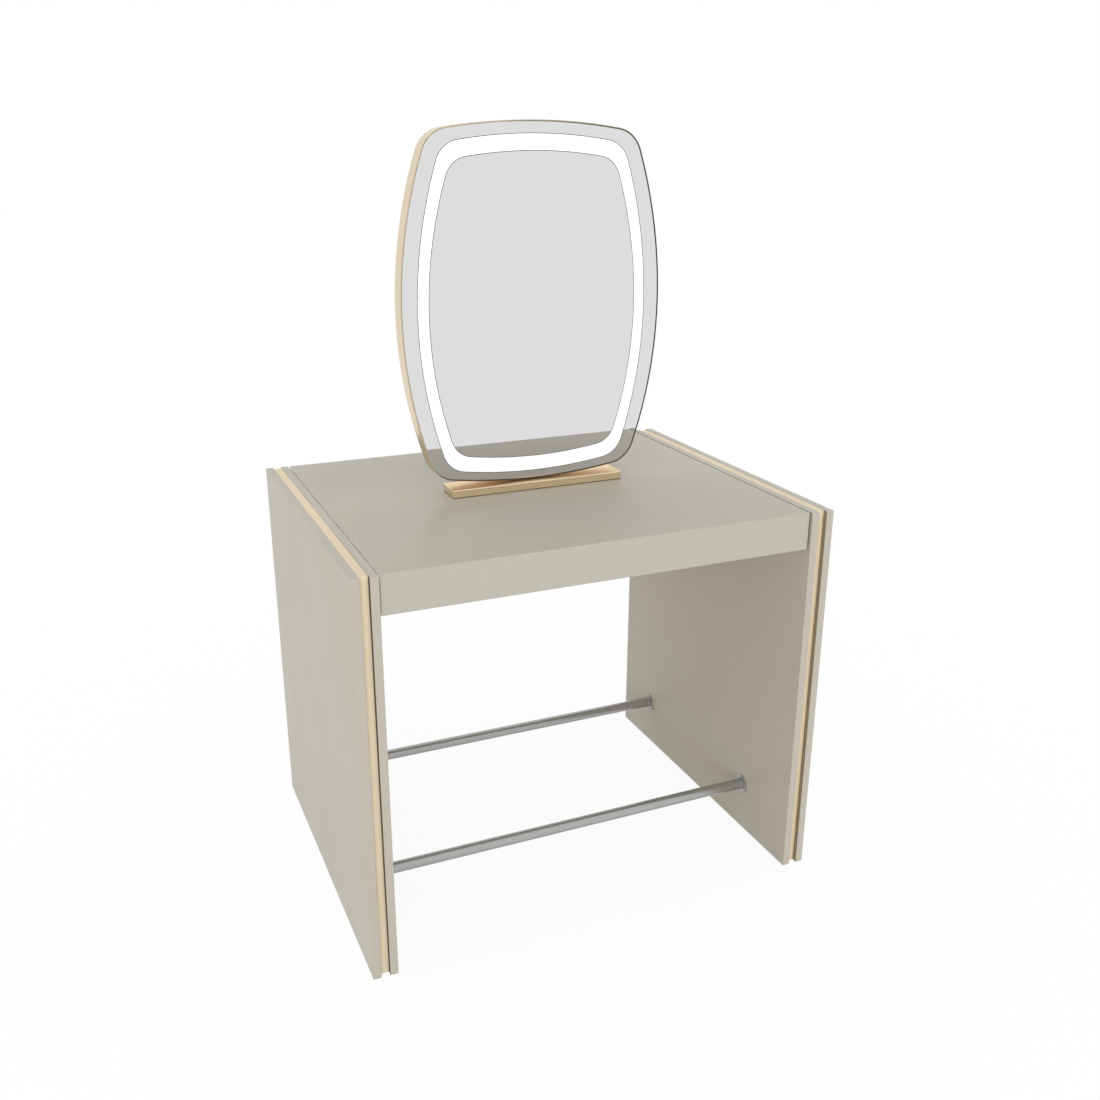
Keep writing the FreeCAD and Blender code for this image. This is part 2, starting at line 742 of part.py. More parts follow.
def make_frame_clamp():
    half_length = stud_pitch / 2 + clamp_plate_overhang
    low_x = mirror_offset - half_length
    high_x = mirror_offset + half_length
    low_y = mirror_setback - clamp_plate_depth / 2
    high_y = mirror_setback + clamp_plate_depth / 2
    plate = block(low_x, high_x, low_y, high_y, frame_bottom, clamp_plate_top).common(frame_hollow())
    posts = []
    nuts = []
    holes = []
    for side, x in (("left", left_stud_x), ("right", right_stud_x)):
        free = upright(x, mirror_setback, block_bottom, clamp_plate_top, stud_radius + stud_hole_fit)
        thread = upright(x, mirror_setback, stud_bottom, stud_top, stud_radius + thread_fit)
        holes.append(free)
        post = upright(x, mirror_setback, bar_top, frame_bottom + post_seat_rise, post_radius)
        posts.append(post.cut(free).cut(frame_body()).Solids[0])
        lower = hexagon(x, mirror_setback, block_bottom - nut_height, block_bottom, nut_across_flats)
        upper = hexagon(x, mirror_setback, clamp_plate_top, clamp_plate_top + nut_height, nut_across_flats)
        nuts += [lower.cut(thread), upper.cut(thread)]
        stud = upright(x, mirror_setback, stud_bottom, stud_top, stud_radius)
        bore = upright(x, mirror_setback, stud_bottom, stud_top, stud_bore_radius)
        parts[side + "_mirror_stud"] = stud.cut(bore)
    parts["frame_clamp_plate"] = cut_all(plate, holes)
    parts["mirror_posts"] = Part.makeCompound(posts)
    parts["stud_nuts"] = Part.makeCompound(nuts)


# Where the lead meets the strips: the band's middle line above the left stud
def junction_z():
    radius = band_middle_outline[3]
    aside = left_stud_x - mirror_offset
    sag = radius - math.sqrt(radius ** 2 - aside ** 2)
    return band_centre_z - band_middle_outline[1] + sag


def junction_block(growth):
    half_length = junction_length / 2 + growth
    half_height = junction_height / 2 + growth
    low_y, high_y = layer("rear", -channel_floor, channel_floor)
    low_z = junction_z() - half_height
    high_z = junction_z() + half_height
    return block(left_stud_x - half_length, left_stud_x + half_length, low_y, high_y, low_z, high_z)


# One face of the mirror: carrier with its light channel, strip, two panes and the band between them
def make_mirror_face(face):
    carrier_outline = inset(frame_outline, frame_wall + carrier_fit)
    carrier = barrel_prism(carrier_outline, frame_centre_z, *layer(face, 0, pane_back))
    channel_outer = inset(band_outline, channel_ledge)
    channel_inner = inset(band_inner_outline, -channel_ledge)
    channel = barrel_ring(channel_outer, channel_inner, band_centre_z, *layer(face, channel_floor, pane_back))
    half_pocket = stud_pitch / 2 + clamp_plate_overhang + pocket_clearance
    pocket_low_x = mirror_offset - half_pocket
    pocket_high_x = mirror_offset + half_pocket
    low_y, high_y = layer(face, 0, pane_back)
    pocket_top = stud_top + pocket_clearance
    pocket = block(pocket_low_x, pocket_high_x, low_y, high_y, frame_bottom, pocket_top)
    lead_hole = upright(left_stud_x, mirror_setback, stud_top, junction_z(), lead_radius + lead_clearance)
    parts[face + "_carrier"] = cut_all(carrier, [channel, pocket, lead_hole, junction_block(junction_fit)])
    strip_outer = inset(band_middle_outline, -strip_width / 2)
    strip_inner = inset(band_middle_outline, strip_width / 2)
    strip_layer = layer(face, channel_floor, channel_floor + strip_thickness)
    parts[face + "_led_strip"] = barrel_ring(strip_outer, strip_inner, band_centre_z, *strip_layer)
    pane_layer = layer(face, pane_back, pane_back + pane_thickness)
    half_joint = joint_width / 2
    rim = barrel_prism(inset(frame_outline, frame_wall + pane_fit), frame_centre_z, *pane_layer)
    rim_hole = barrel_prism(inset(band_outline, -half_joint), band_centre_z, *pane_layer)
    parts[face + "_outer_mirror"] = rim.cut(rim_hole)
    band_outer = inset(band_outline, half_joint)
    band_inner = inset(band_inner_outline, -half_joint)
    parts[face + "_light_band"] = barrel_ring(band_outer, band_inner, band_centre_z, *pane_layer)
    pane_outline = inset(band_inner_outline, half_joint)
    parts[face + "_inner_mirror"] = barrel_prism(pane_outline, band_centre_z, *pane_layer)


# Wiring inside the top
def make_led_lead():
    turn = lead_turn_radius
    rise = lead_rise_radius
    diagonal = math.sin(math.pi / 4)
    start = point(driver_low_x, front_bay_y, lead_z)
    turn_in = point(left_stud_x + turn, front_bay_y, lead_z)
    turn_middle = point(left_stud_x + turn - turn * diagonal, front_bay_y + turn - turn * diagonal, lead_z)
    turn_out = point(left_stud_x, front_bay_y + turn, lead_z)
    rise_in = point(left_stud_x, mirror_setback - rise, lead_z)
    rise_back = mirror_setback - rise + rise * diagonal
    rise_middle = point(left_stud_x, rise_back, lead_z + rise - rise * diagonal)
    rise_out = point(left_stud_x, mirror_setback, lead_z + rise)
    end = point(left_stud_x, mirror_setback, junction_z() - junction_height / 2)
    path = Part.Wire([
        Part.LineSegment(start, turn_in).toShape(),
        Part.Arc(turn_in, turn_middle, turn_out).toShape(),
        Part.LineSegment(turn_out, rise_in).toShape(),
        Part.Arc(rise_in, rise_middle, rise_out).toShape(),
        Part.LineSegment(rise_out, end).toShape(),
    ])
    section = Part.Wire([Part.makeCircle(lead_radius, start, FreeCAD.Vector(-1, 0, 0))])
    lead = path.makePipeShell([section], True, False)
    fullness = lead.Volume / (math.pi * lead_radius ** 2 * path.Length)
    print("led lead: length %.1f, volume over section times length %.4f" % (path.Length, fullness))
    parts["led_lead"] = lead
    parts["led_junction"] = junction_block(0)


def make_mains_leads():
    terminal_left = terminal_x - terminal_length / 2
    switch_half = switch_housing_width / 2
    first = crosswise(terminal_left, switch_x + switch_half, front_bay_y, mains_lead_z, lead_radius)
    second = crosswise(switch_x - switch_half, driver_high_x, front_bay_y, mains_lead_z, lead_radius)
    parts["mains_leads"] = Part.makeCompound([first, second])


def driver_screw_places():
    for x in (driver_low_x - driver_ear_length / 2, driver_high_x + driver_ear_length / 2):
        for way in (-1, 1):
            yield x, front_bay_y + way * driver_screw_depth_share * driver_depth


def make_driver():
    low_y = front_bay_y - driver_depth / 2
    high_y = front_bay_y + driver_depth / 2
    body = block(driver_low_x, driver_high_x, low_y, high_y, bay_floor, bay_floor + driver_height)
    body = body.makeFillet(driver_edge_radius, [edge for edge in body.Edges if runs_along_x(edge)])
    ear_low_x = driver_low_x - driver_ear_length
    ear_high_x = driver_high_x + driver_ear_length
    ear_low_y = low_y + driver_edge_radius
    ear_high_y = high_y - driver_edge_radius
    seat = bay_floor + driver_ear_height
    ears = block(ear_low_x, ear_high_x, ear_low_y, ear_high_y, bay_floor, seat)
    radius = driver_screw_radius + screw_fit
    holes = [upright(x, y, bay_floor, seat, radius) for x, y in driver_screw_places()]
    parts["led_driver"] = cut_all(body.fuse(ears).removeSplitter(), holes)
    screws = []
    for x, y in driver_screw_places():
        head = upright(x, y, seat, seat + driver_screw_head_height, driver_screw_head_radius)
        shank = upright(x, y, seat - driver_screw_length, seat, driver_screw_radius)
        screws.append(head.fuse(shank).removeSplitter())
    parts["driver_screws"] = Part.makeCompound(screws)


def make_terminal():
    low_x = terminal_x - terminal_length / 2
    low_y = front_bay_y - terminal_depth / 2
    body = Part.makeBox(terminal_length, terminal_depth, terminal_height, point(low_x, low_y, bay_floor))
    parts["mains_terminal"] = body


def make_gland():
    flange_bottom = top_bottom - gland_flange_height
    cap_bottom = flange_bottom - gland_cap_height
    sleeve_top = bay_floor + gland_sleeve_rise
    cap = upright(gland_x, front_bay_y, cap_bottom, flange_bottom, gland_cap_radius)
    cap = cap.makeFillet(gland_cap_round, rims_at(cap, cap_bottom))
    flange = hexagon(gland_x, front_bay_y, flange_bottom, top_bottom, gland_flange_across_flats)
    sleeve = upright(gland_x, front_bay_y, top_bottom, sleeve_top, gland_sleeve_radius)
    body = cap.fuse(flange).fuse(sleeve).removeSplitter()
    bore = upright(gland_x, front_bay_y, cap_bottom, sleeve_top, gland_bore_radius)
    parts["mains_gland"] = cut_all(body, [bore])
    nut = hexagon(gland_x, front_bay_y, bay_floor, bay_floor + panel_nut_height, gland_nut_across_flats)
    thread = upright(gland_x, front_bay_y, bay_floor, sleeve_top, gland_sleeve_radius + thread_fit)
    parts["gland_nut"] = cut_all(nut, [thread])


# Push switch under the front edge of the top, pressed upwards
def make_switch():
    bezel_bottom = top_bottom - switch_bezel_height
    barrel_top = bay_floor + switch_barrel_rise
    housing_top = barrel_top + switch_housing_height
    half = switch_housing_width / 2
    bezel = upright(switch_x, front_bay_y, bezel_bottom, top_bottom, switch_bezel_radius)
    barrel = upright(switch_x, front_bay_y, top_bottom, barrel_top, switch_barrel_radius)
    low_y = front_bay_y - half
    high_y = front_bay_y + half
    housing = block(switch_x - half, switch_x + half, low_y, high_y, barrel_top, housing_top)
    lip = upright(switch_x, front_bay_y, bezel_bottom, top_bottom, button_radius + button_fit)
    chamber_top = top_bottom + switch_chamber_height
    chamber = upright(switch_x, front_bay_y, top_bottom, chamber_top, switch_chamber_radius)
    parts["switch_body"] = cut_all(bezel.fuse(barrel).fuse(housing).removeSplitter(), [lip, chamber])
    nut = hexagon(switch_x, front_bay_y, bay_floor, bay_floor + panel_nut_height, switch_nut_across_flats)
    thread = upright(switch_x, front_bay_y, bay_floor, barrel_top, switch_barrel_radius + thread_fit)
    parts["switch_nut"] = cut_all(nut, [thread])
    stem_bottom = bezel_bottom - button_proud
    collar_bottom = top_bottom + button_lift
    collar_top = collar_bottom + button_collar_height
    stem = upright(switch_x, front_bay_y, stem_bottom, collar_bottom, button_radius)
    stem = stem.makeFillet(button_edge_radius, rims_at(stem, stem_bottom))
    collar = upright(switch_x, front_bay_y, collar_bottom, collar_top, switch_chamber_radius - button_fit)
    parts["light_button"] = stem.fuse(collar).removeSplitter()


def build():
    for side in SIDES:
        make_side_panel(side)
    make_panel_dowels()
    make_floor_glides()
    make_top_board()
    make_carcass()
    make_underside()
    make_top_fixings()
    for row in rail_rows:
        make_foot_rail(row)
        for side in SIDES:
            make_rail_socket(side, row)
    make_socket_screws()
    make_mirror_base()
    make_mirror_frame()
    make_frame_clamp()
    for face in FACES:
        make_mirror_face(face)
    make_led_lead()
    make_mains_leads()
    make_driver()
    make_terminal()
    make_gland()
    make_switch()


build()
os.makedirs("parts", exist_ok=True)
for name, shape in parts.items():
    shape.exportStep("parts/" + name + ".step")
    box = shape.BoundBox
    spans = (box.XMin, box.XMax, box.YMin, box.YMax, box.ZMin, box.ZMax)
    print("%-24s %2d solids" % (name, len(shape.Solids)), ["%.1f" % span for span in spans])
print(len(parts), "nodes")
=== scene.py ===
# %% [markdown]
# # A lit mirror console for a salon
# The real thing is a table that a client sits at: two side panels made as sandwiches of board, a boxed
# top between them, chrome tubes near the floor to rest the feet on, and an upright mirror with a band of
# light. Its construction is already solid geometry at its true size, so this lesson dresses it: it sets
# the camera, the light and the floor, and then gives every piece the finish that the real one has.

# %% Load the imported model
import math

import bpy
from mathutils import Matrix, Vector


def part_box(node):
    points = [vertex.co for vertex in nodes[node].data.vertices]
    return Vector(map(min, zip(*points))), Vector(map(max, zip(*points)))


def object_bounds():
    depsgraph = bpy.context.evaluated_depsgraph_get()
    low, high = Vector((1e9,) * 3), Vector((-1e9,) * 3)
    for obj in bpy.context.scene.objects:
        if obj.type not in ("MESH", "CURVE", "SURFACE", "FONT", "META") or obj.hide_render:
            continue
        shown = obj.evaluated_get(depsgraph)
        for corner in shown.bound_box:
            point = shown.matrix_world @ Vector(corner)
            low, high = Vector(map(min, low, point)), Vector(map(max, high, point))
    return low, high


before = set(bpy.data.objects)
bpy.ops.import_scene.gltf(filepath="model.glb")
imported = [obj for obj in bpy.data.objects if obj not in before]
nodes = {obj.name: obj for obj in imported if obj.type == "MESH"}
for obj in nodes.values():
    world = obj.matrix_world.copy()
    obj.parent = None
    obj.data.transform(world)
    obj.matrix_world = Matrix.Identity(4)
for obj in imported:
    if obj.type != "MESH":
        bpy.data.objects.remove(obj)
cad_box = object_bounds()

print(len(nodes), "nodes, box from", tuple(cad_box[0]), "to", tuple(cad_box[1]))

# %% [markdown]
# ## The camera
# A photograph fixes a camera once enough straight edges of known length are found in it. Here the camera
# was worked out from the edges of the top and the panels, so its place, its turn and its lens are written
# down as they came out. The picture was cropped a little off centre, which a small lens shift copies.

# %% Set the camera
IMAGE_SIDE = 1100
SENSOR_WIDTH = 36.0
FOCAL_PIXELS = 1129.45
OPTICAL_CENTRE_PIXELS = (535.98, 551.35)
CAMERA_PLACE = (-0.9392, -2.2214, 1.5726)
CAMERA_AZIMUTH = math.radians(-23.10)
CAMERA_ELEVATION = math.radians(19.655)


def look_back(azimuth, elevation):
    across = math.cos(elevation)
    return Vector((math.sin(azimuth) * across, -math.cos(azimuth) * across, math.sin(elevation)))


def aim(thing, azimuth, elevation):
    thing.rotation_mode = "QUATERNION"
    thing.rotation_quaternion = (-look_back(azimuth, elevation)).to_track_quat("-Z", "Y")


camera_data = bpy.data.cameras.new("photo_camera")
camera_data.sensor_width = SENSOR_WIDTH
camera_data.lens = FOCAL_PIXELS / IMAGE_SIDE * SENSOR_WIDTH
camera_data.shift_x = 0.5 - OPTICAL_CENTRE_PIXELS[0] / IMAGE_SIDE
camera_data.shift_y = OPTICAL_CENTRE_PIXELS[1] / IMAGE_SIDE - 0.5
camera = bpy.data.objects.new("photo_camera", camera_data)
bpy.context.scene.collection.objects.link(camera)
camera.location = CAMERA_PLACE
aim(camera, CAMERA_AZIMUTH, CAMERA_ELEVATION)
bpy.context.scene.camera = camera
bpy.context.scene.view_settings.view_transform = "Standard"
print("lens", round(camera_data.lens, 2), "mm")

# %% [markdown]
# ## A short way to write shader nodes
# Every finish below is a small tree of nodes. Written out in full, a tree is mostly plumbing, so one
# helper makes a node and fills its sockets: a number or a colour is set, and another node's output is
# linked. A few more helpers make the pieces of tree that nearly every finish needs.

# %% Helpers for node trees
def add(tree, kind, inputs=None, **settings):
    node = tree.nodes.new(kind)
    for key, value in settings.items():
        setattr(node, key, value)
    for key, value in (inputs or {}).items():
        if isinstance(value, bpy.types.NodeSocket):
            tree.links.new(value, node.inputs[key])
        else:
            node.inputs[key].default_value = value
    return node


def feed(tree, socket, value):
    tree.links.new(value, socket)


def math_node(tree, operation, first, second=0.0):
    return add(tree, "ShaderNodeMath", {0: first, 1: second}, operation=operation).outputs[0]


def vector_node(tree, operation, first, second):
    return add(tree, "ShaderNodeVectorMath", {0: first, 1: second}, operation=operation).outputs


def split(tree, vector):
    return add(tree, "ShaderNodeSeparateXYZ", {0: vector}).outputs


def spread(tree, value, low, high, start=0.3, end=0.7):
    inputs = {"Value": value, "From Min": start, "From Max": end, "To Min": low, "To Max": high}
    return add(tree, "ShaderNodeMapRange", inputs).outputs[0]


print("helpers for trees of nodes are ready")

# %% Helpers for textures and colours
def spot_on_object(tree):
    return add(tree, "ShaderNodeTexCoord").outputs["Object"]


def stretched(tree, scale):
    inputs = {"Vector": spot_on_object(tree), "Scale": scale}
    return add(tree, "ShaderNodeMapping", inputs).outputs[0]


def cloud(tree, scale, detail=3.0, stretch=(1, 1, 1)):
    inputs = {"Vector": stretched(tree, stretch), "Scale": scale, "Detail": detail}
    return add(tree, "ShaderNodeTexNoise", inputs).outputs[0]


def relief(tree, height, strength, distance):
    inputs = {"Height": height, "Strength": strength, "Distance": distance}
    return add(tree, "ShaderNodeBump", inputs).outputs[0]


def blend_colours(tree, amount, first, second):
    node = add(tree, "ShaderNodeMix", {0: amount, 6: first, 7: second}, data_type="RGBA")
    return node.outputs[2]


def tone(colour, factor):
    return tuple(channel * factor for channel in colour) + (1.0,)


def varied(tree, amount, colour, darkest, lightest):
    return blend_colours(tree, amount, tone(colour, darkest), tone(colour, lightest))


print("helpers for textures and colours are ready")

# %% Helpers for finishes
def new_finish(name):
    material = bpy.data.materials.new(name)
    material.use_nodes = True
    return material, material.node_tree, material.node_tree.nodes["Principled BSDF"].inputs


def dress(material, *names):
    for name in names:
        mesh = nodes[name].data
        mesh.materials.clear()
        mesh.materials.append(material)
    print(material.name, "on", len(names), "nodes")


print("helpers for finishes are ready")

# %% [markdown]
# ## Light
# The picture was lit softly from all round, with a little more light from the front and the left: the
# front of the top is lighter than its upper face, and the inside of the right panel is the darkest big
# face. So the world is almost even, only a touch stronger at the horizon, and one broad, low and slightly
# cool lamp adds the front light. Where the camera or a reflection looks at the world it is plain white.
# The lamp itself is kept out of reflections: a disc that broad would be a white blot in the mirror, and a
# glare on the top when it is seen from behind, and a photographer would move it until neither showed.

# %% World
HORIZON_LIGHT = 0.88
ZENITH_LIGHT = 0.85
PLAIN_WHITE = 1.0
WHITE = (1, 1, 1, 1)


def seen_directly(tree):
    path = add(tree, "ShaderNodeLightPath").outputs
    seen = math_node(tree, "MAXIMUM", path["Is Camera Ray"], path["Is Glossy Ray"])
    return math_node(tree, "MAXIMUM", seen, path["Is Transmission Ray"])


world = bpy.data.worlds.new("white_room")
world.use_nodes = True
bpy.context.scene.world = world
room = world.node_tree
background = room.nodes["Background"].inputs
height = split(room, add(room, "ShaderNodeTexCoord").outputs["Generated"])["Z"]
lamp_part = spread(room, height, HORIZON_LIGHT, ZENITH_LIGHT, start=0.0, end=1.0)
room_strength = spread(room, seen_directly(room), lamp_part, PLAIN_WHITE, start=0.0, end=1.0)
feed(room, background["Strength"], room_strength)
background["Color"].default_value = WHITE
print("world lights at", HORIZON_LIGHT, "to", ZENITH_LIGHT)

# %% Front lamp
LAMP_STRENGTH = 1.08
LAMP_COLOUR = (0.98, 1.0, 1.04)
LAMP_SOFTNESS = math.radians(44)
LAMP_AZIMUTH = math.radians(-24.5)
LAMP_ELEVATION = math.radians(8)

lamp_data = bpy.data.lights.new("front_lamp", "SUN")
lamp_data.energy = LAMP_STRENGTH
lamp_data.color = LAMP_COLOUR
lamp_data.angle = LAMP_SOFTNESS
lamp = bpy.data.objects.new("front_lamp", lamp_data)
bpy.context.scene.collection.objects.link(lamp)
aim(lamp, LAMP_AZIMUTH, LAMP_ELEVATION)
lamp.visible_glossy = False
print("front lamp at", LAMP_STRENGTH)

# %% [markdown]
# ## Pale floor
# The ground of the picture is plain white. The floor adds a part that glows only for the camera and for
# reflections to a faint part that takes the shadow, and the glow is set so that open floor comes out
# white. A flat horizontal surface gets the world's zenith light plus a third of the fade, and the lamp at
# a slant. For every other ray the floor is a warm cream, because the light that it throws back up at the
# panels is warm.

# %% Floor mesh
FLOOR_REACH = 30.0
CORNER_SIGNS = ((-1, -1), (1, -1), (1, 1), (-1, 1))

corners = [(x * FLOOR_REACH, y * FLOOR_REACH, 0) for x, y in CORNER_SIGNS]
floor_mesh = bpy.data.meshes.new("floor")
floor_mesh.from_pydata(corners, [], [(0, 1, 2, 3)])
floor = bpy.data.objects.new("floor", floor_mesh)
bpy.context.scene.collection.objects.link(floor)
floor.location.z = cad_box[0].z
print("floor at", floor.location.z, "m")

# %% Floor material
FLOOR_SHADOW_PART = 0.10
FLOOR_PAINT = (0.84, 0.79, 0.69, 1)

sky_on_floor = ZENITH_LIGHT + (HORIZON_LIGHT - ZENITH_LIGHT) / 3
lamp_on_floor = LAMP_STRENGTH * math.sin(LAMP_ELEVATION) / math.pi
floor_glow = PLAIN_WHITE - FLOOR_SHADOW_PART * (sky_on_floor + lamp_on_floor)
shadow_grey = (FLOOR_SHADOW_PART, FLOOR_SHADOW_PART, FLOOR_SHADOW_PART, 1)

floor_material = bpy.data.materials.new("pale_floor")
floor_material.use_nodes = True
tree = floor_material.node_tree
tree.nodes.remove(tree.nodes["Principled BSDF"])
shadow_part = add(tree, "ShaderNodeBsdfDiffuse", {"Color": shadow_grey}).outputs[0]
glow = add(tree, "ShaderNodeEmission", {"Strength": floor_glow}).outputs[0]
shown = add(tree, "ShaderNodeAddShader", {0: shadow_part, 1: glow}).outputs[0]
plain = add(tree, "ShaderNodeBsdfDiffuse", {"Color": FLOOR_PAINT}).outputs[0]
floor_mix = add(tree, "ShaderNodeMixShader", {0: seen_directly(tree), 1: plain, 2: shown}).outputs[0]
feed(tree, tree.nodes["Material Output"].inputs["Surface"], floor_mix)
floor_mesh.materials.append(floor_material)
print("floor glows at", round(floor_glow, 3))

# %% [markdown]
# ## Faced board
# The panels and the top are board with a satin facing, a warm grey that leans to beige. Close to, such a
# facing has a fine print that runs along the board and a faint pearl texture, and hands leave it a little
# shinier in places. Image textures could do this, but layers of noise in object space need no unwrapping
# and never repeat.

# %% Colour and surface of the facing
POLISHED_BY = 0.03
DULLED_BY = 0.04
FLECK_SHARE = (0.15, 0.60)


def facing_colour(tree, colour, print_run):
    drift = cloud(tree, scale=2.2, detail=4.0)
    base = varied(tree, drift, colour, darkest=0.98, lightest=1.015)
    fleck = varied(tree, cloud(tree, scale=420.0), colour, darkest=0.985, lightest=1.03)
    print_grain = cloud(tree, scale=1.0, detail=4.0, stretch=print_run)
    return blend_colours(tree, spread(tree, print_grain, *FLECK_SHARE), base, fleck)


def hand_polish(tree, roughness):
    smudge = cloud(tree, scale=5.5, detail=4.0)
    return spread(tree, smudge, roughness - POLISHED_BY, roughness + DULLED_BY)


def satin_surface(tree, shader, polish, gloss):
    pearl = cloud(tree, scale=900.0, detail=2.0)
    feed(tree, shader["Normal"], relief(tree, pearl, strength=0.015, distance=0.0002))
    feed(tree, shader["Roughness"], polish)
    shader["Specular IOR Level"].default_value = gloss


print("facing varies in polish by", round(POLISHED_BY + DULLED_BY, 2))

# %% [markdown]
# A finish often changes with the place on the object or with the way that a face points, such as the
# upper face of a piece. Both can be read inside a material and turned into a mask, and then one material
# does for a whole piece, with no faces to pick by hand.

# %% Masks by place and direction
LEVEL = 0.9
SIDEWAYS = 0.9


def by_side(tree, left_colour, right_colour):
    at_left = math_node(tree, "LESS_THAN", split(tree, spot_on_object(tree))["X"], 0.0)
    return blend_colours(tree, at_left, right_colour, left_colour)


def facing_way(tree):
    return split(tree, add(tree, "ShaderNodeNewGeometry").outputs["Normal"])


def upper_face(tree):
    return math_node(tree, "GREATER_THAN", facing_way(tree)["Z"], LEVEL)


def end_face(tree):
    aside = math_node(tree, "ABSOLUTE", facing_way(tree)["X"])
    return math_node(tree, "GREATER_THAN", aside, SIDEWAYS)


print("a face counts as level within", round(math.degrees(math.acos(LEVEL))), "degrees")

# %% [markdown]
# The top is a darker copy of the fascias' greige, painted shade for the light its upper face lacks. Their
# ends show only in the narrow gaps beside the panels: the left end is painted pale as light, and the right
# end is painted dark as shade, so that gap is the darker of the two.

# %% Top, fascias and underside
# The top's colour is painted shade: a darker copy of the fascias' greige.
TOP_GREIGE_PAINTED_SHADE = (0.488, 0.461, 0.382)
FASCIA_GREIGE = (0.516, 0.498, 0.443)
UNDERSIDE_WHITE = (0.70, 0.69, 0.66)
# Painted light and painted shade for the gaps beside the top, pale at the left and dark at the right.
GAP_PAINTED_LIGHT = (0.93, 0.91, 0.86, 1)
GAP_PAINTED_SHADE = (0.20, 0.185, 0.155, 1)
PRINT_ACROSS = (3.0, 150.0, 150.0)


def satin_facing(name, colour, roughness, gloss):
    material, tree, shader = new_finish(name)
    faced = facing_colour(tree, colour, PRINT_ACROSS)
    # The ends in the gaps get painted light at the left and painted shade at the right.
    painted_gap_end = by_side(tree, GAP_PAINTED_LIGHT, GAP_PAINTED_SHADE)
    feed(tree, shader["Base Color"], blend_colours(tree, end_face(tree), faced, painted_gap_end))
    satin_surface(tree, shader, hand_polish(tree, roughness), gloss)
    return material


top_finish = satin_facing("top_facing", TOP_GREIGE_PAINTED_SHADE, roughness=0.32, gloss=0.22)
fascia_finish = satin_facing("fascia_facing", FASCIA_GREIGE, roughness=0.36, gloss=0.20)
under_finish = satin_facing("underside_facing", UNDERSIDE_WHITE, roughness=0.60, gloss=0.30)
dress(top_finish, "top_panel")
dress(fascia_finish, "front_fascia", "rear_fascia", "left_end_rail", "right_end_rail")
dress(under_finish, "underside_panel")

# %% [markdown]
# ## Side panels
# The four boards of the panels have the same facing, but only where it shows. Their faces towards the core
# are raw board deepened with painted shade, which is why the recess beside the gold stripe looks dark
# brown, darkest in the left panel, where the painted shade is heavier. On top, a fine brown line of painted
# shadow lies beside the core. In the gaps beside the top, the panels' walls are painted pale as light at
# the left and painted darker as shade at the right. A thin band covers the cut edges, and its joint is a
# hairline along the big faces. All of these are places, so the material picks the finish by place.

# %% Places on the panel boards
# Width of the painted shadow line beside the core on top.
CORE_SHADOW_LINE = 0.0007
EDGE_BAND = 0.0012
HAIRLINE = 0.0002
core_low, core_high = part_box("right_core_board")
board_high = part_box("right_outer_board")[1]
inner_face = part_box("right_inner_board")[0].x
fascia_low, fascia_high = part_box("front_fascia")


def between(tree, value, low, high):
    above = math_node(tree, "GREATER_THAN", value, low)
    below = math_node(tree, "LESS_THAN", value, high)
    return math_node(tree, "MULTIPLY", above, below)


def edge_band_joint(tree, place, from_middle):
    from_end = math_node(tree, "SUBTRACT", board_high.y, from_middle)
    from_top = math_node(tree, "SUBTRACT", board_high.z, place["Z"])
    nearest = math_node(tree, "MINIMUM", from_end, from_top)
    return between(tree, nearest, EDGE_BAND - HAIRLINE, EDGE_BAND)


def gap_wall(tree, place, aside, from_middle):
    on_wall = math_node(tree, "LESS_THAN", aside, inner_face + HAIRLINE)
    beside_top = between(tree, place["Z"], fascia_low.z, fascia_high.z)
    covered = math_node(tree, "LESS_THAN", from_middle, -fascia_low.y)
    return math_node(tree, "MULTIPLY", on_wall, math_node(tree, "MULTIPLY", beside_top, covered))


# Raw faces towards the core, and the painted shadow line beside the core on top.
def raw_and_shadow_places(tree, aside):
    inside = between(tree, aside, core_low.x - HAIRLINE, core_high.x + HAIRLINE)
    beside = between(tree, aside, core_low.x - CORE_SHADOW_LINE, core_high.x + CORE_SHADOW_LINE)
    shadow_line_on_top = math_node(tree, "MULTIPLY", beside, upper_face(tree))
    return math_node(tree, "MAXIMUM", inside, shadow_line_on_top)


print("cores lie from", round(core_low.x, 4), "to", round(core_high.x, 4), "m from the middle")

# %% Panel boards
GREIGE = (0.522, 0.500, 0.436)
JOINT_SHADE = 0.6
# Painted shade for the gap walls at the right; the left ones get painted light.
GAP_WALL_PAINTED_SHADE = 0.8
# Raw board colour deepened with painted shade, heavier in the left panel.
LEFT_RAW_BOARD_AND_PAINTED_SHADE = (0.125, 0.105, 0.066, 1)
RIGHT_RAW_BOARD_AND_PAINTED_SHADE = (0.315, 0.262, 0.180, 1)
RAW_ROUGHNESS = 0.9
PANEL_ROUGHNESS = 0.42
PANEL_GLOSS = 0.20
PRINT_UPRIGHT = (150.0, 150.0, 3.0)
sides = ("left", "right")


